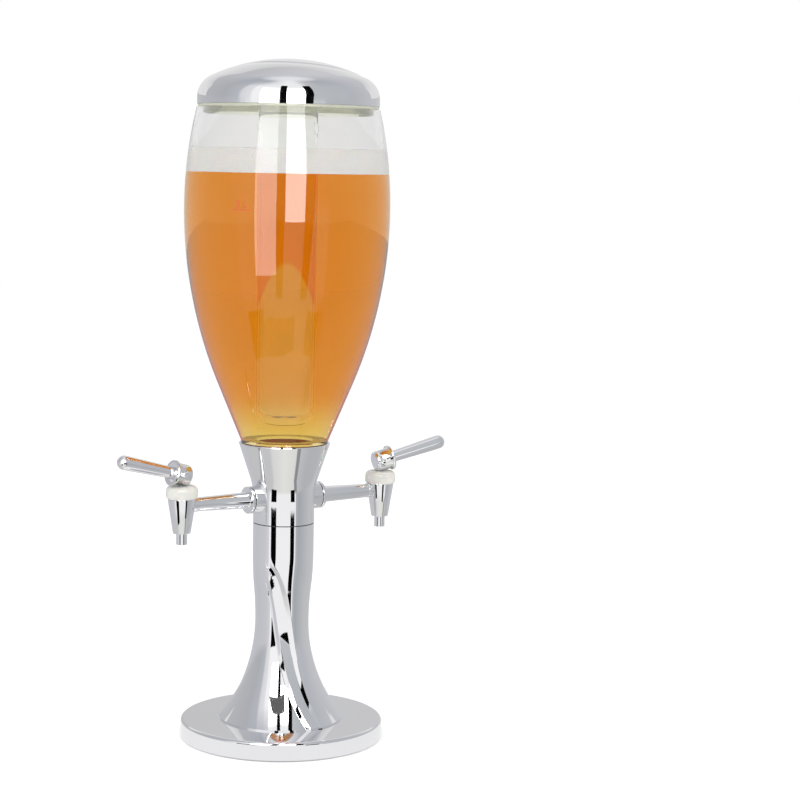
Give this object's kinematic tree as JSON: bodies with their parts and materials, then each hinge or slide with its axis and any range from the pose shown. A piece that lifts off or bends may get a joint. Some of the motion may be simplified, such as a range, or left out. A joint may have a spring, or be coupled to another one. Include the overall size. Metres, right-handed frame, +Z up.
{
  "type": "beer tower dispenser",
  "caption": "Table-top drinks tower: chromed weighted base, twisted column, side taps with levers on arms, tall clear tank, domed lid and screw-in ice tube.",
  "frame": {"origin": "on the table, at the tower's axis, under the foot ring", "axes": "+Z up along the tower's axis, X along the two arms, so the taps are at +X (right) and -X (left); the row's front is -Y"},
  "size_m": [0.32, 0.1752, 0.5845],
  "materials": {
    "chrome": "mirror-bright plated metal and plated plastic",
    "zinc_steel": "zinc-plated fasteners",
    "weight_iron": "plain cast plate, inside the base",
    "black_plastic": "fine-textured moulded plate",
    "dark_rubber": "smooth elastomer",
    "white_silicone": "satin translucent silicone",
    "ivory_plastic": "smooth moulded plastic",
    "ice_tube_plastic": "translucent moulded plastic",
    "clear_tank": "clear polished polycarbonate",
    "spring_steel": "drawn stainless wire"
  },
  "bodies": {
    "stand": {"base_cover": "chrome", "base_weight": "weight_iron", "base_plate": "black_plastic", "foot_ring": "dark_rubber", "base_screws": "zinc_steel", "column": "chrome", "column_screws": "zinc_steel", "tie_rod": "zinc_steel", "tie_rod_washers": "zinc_steel", "tie_rod_nuts": "zinc_steel", "seam_ring": "dark_rubber", "head": "chrome", "beer_cup": "ivory_plastic", "neck_gasket": "white_silicone", "tank": "clear_tank", "arm_left": "chrome", "arm_right": "chrome", "arm_seal_left": "dark_rubber", "arm_seal_right": "dark_rubber", "arm_nut_left": "zinc_steel", "arm_nut_right": "zinc_steel", "tap_body_left": "chrome", "tap_body_right": "chrome", "tap_spout_left": "chrome", "tap_spout_right": "chrome", "tap_bonnet_left": "ivory_plastic", "tap_bonnet_right": "ivory_plastic", "valve_spring_left": "spring_steel", "valve_spring_right": "spring_steel"},
    "lid": {"lid_shell": "chrome", "lid_liner": "ivory_plastic", "lid_gasket": "white_silicone"},
    "tube_seal": {"ice_tube_seal": "white_silicone"},
    "ice_tube": {"ice_tube": "ice_tube_plastic"},
    "stem_left": {"valve_stem_left": "chrome", "seat_cup_left": "dark_rubber"},
    "stem_right": {"valve_stem_right": "chrome", "seat_cup_right": "dark_rubber"},
    "lever_left": {"lever_head_left": "chrome", "lever_rod_left": "chrome", "pivot_pin_left": "zinc_steel"},
    "lever_right": {"lever_head_right": "chrome", "lever_rod_right": "chrome", "pivot_pin_right": "zinc_steel"}
  },
  "joints": [
    {"name": "lid_lift", "type": "slide", "parent": "stand", "child": "lid", "axis": [0, 0, 1], "range_m": [0, 0.275]},
    {"name": "ice_tube_drop", "type": "slide", "parent": "lid", "child": "tube_seal", "axis": [0, 0, -1], "range_m": [0, 0.006]},
    {"name": "ice_tube_unscrew", "type": "hinge", "parent": "tube_seal", "child": "ice_tube", "pos_m": [0, 0, 0.545], "axis": [0, 0, -1], "range_deg": [0, 720]},
    {"name": "stem_lift_right", "type": "slide", "parent": "stand", "child": "stem_right", "axis": [0, 0, 1], "range_m": [0, 0.0042], "deforming": ["valve_spring_right"]},
    {"name": "lever_press_right", "type": "hinge", "parent": "stem_right", "child": "lever_right", "pos_m": [0.0985, 0, 0.236], "axis": [0.1564, 0.9877, 0], "range_deg": [0, 24], "stiffness_Nm_per_rad": 0.1, "springref_deg": -57.3},
    {"name": "stem_lift_left", "type": "slide", "parent": "stand", "child": "stem_left", "axis": [0, 0, 1], "range_m": [0, 0.0042], "deforming": ["valve_spring_left"]},
    {"name": "lever_press_left", "type": "hinge", "parent": "stem_left", "child": "lever_left", "pos_m": [-0.0985, 0, 0.236], "axis": [0.0872, -0.9962, 0], "range_deg": [0, 24], "stiffness_Nm_per_rad": 0.1, "springref_deg": -57.3}
  ],
  "couplings": [
    {"joint": "ice_tube_drop", "follows": "ice_tube_unscrew", "m_per_rad": 0.000477},
    {"joint": "stem_lift_right", "follows": "lever_press_right", "m_per_rad": 0.01},
    {"joint": "stem_lift_left", "follows": "lever_press_left", "m_per_rad": 0.01}
  ]
}
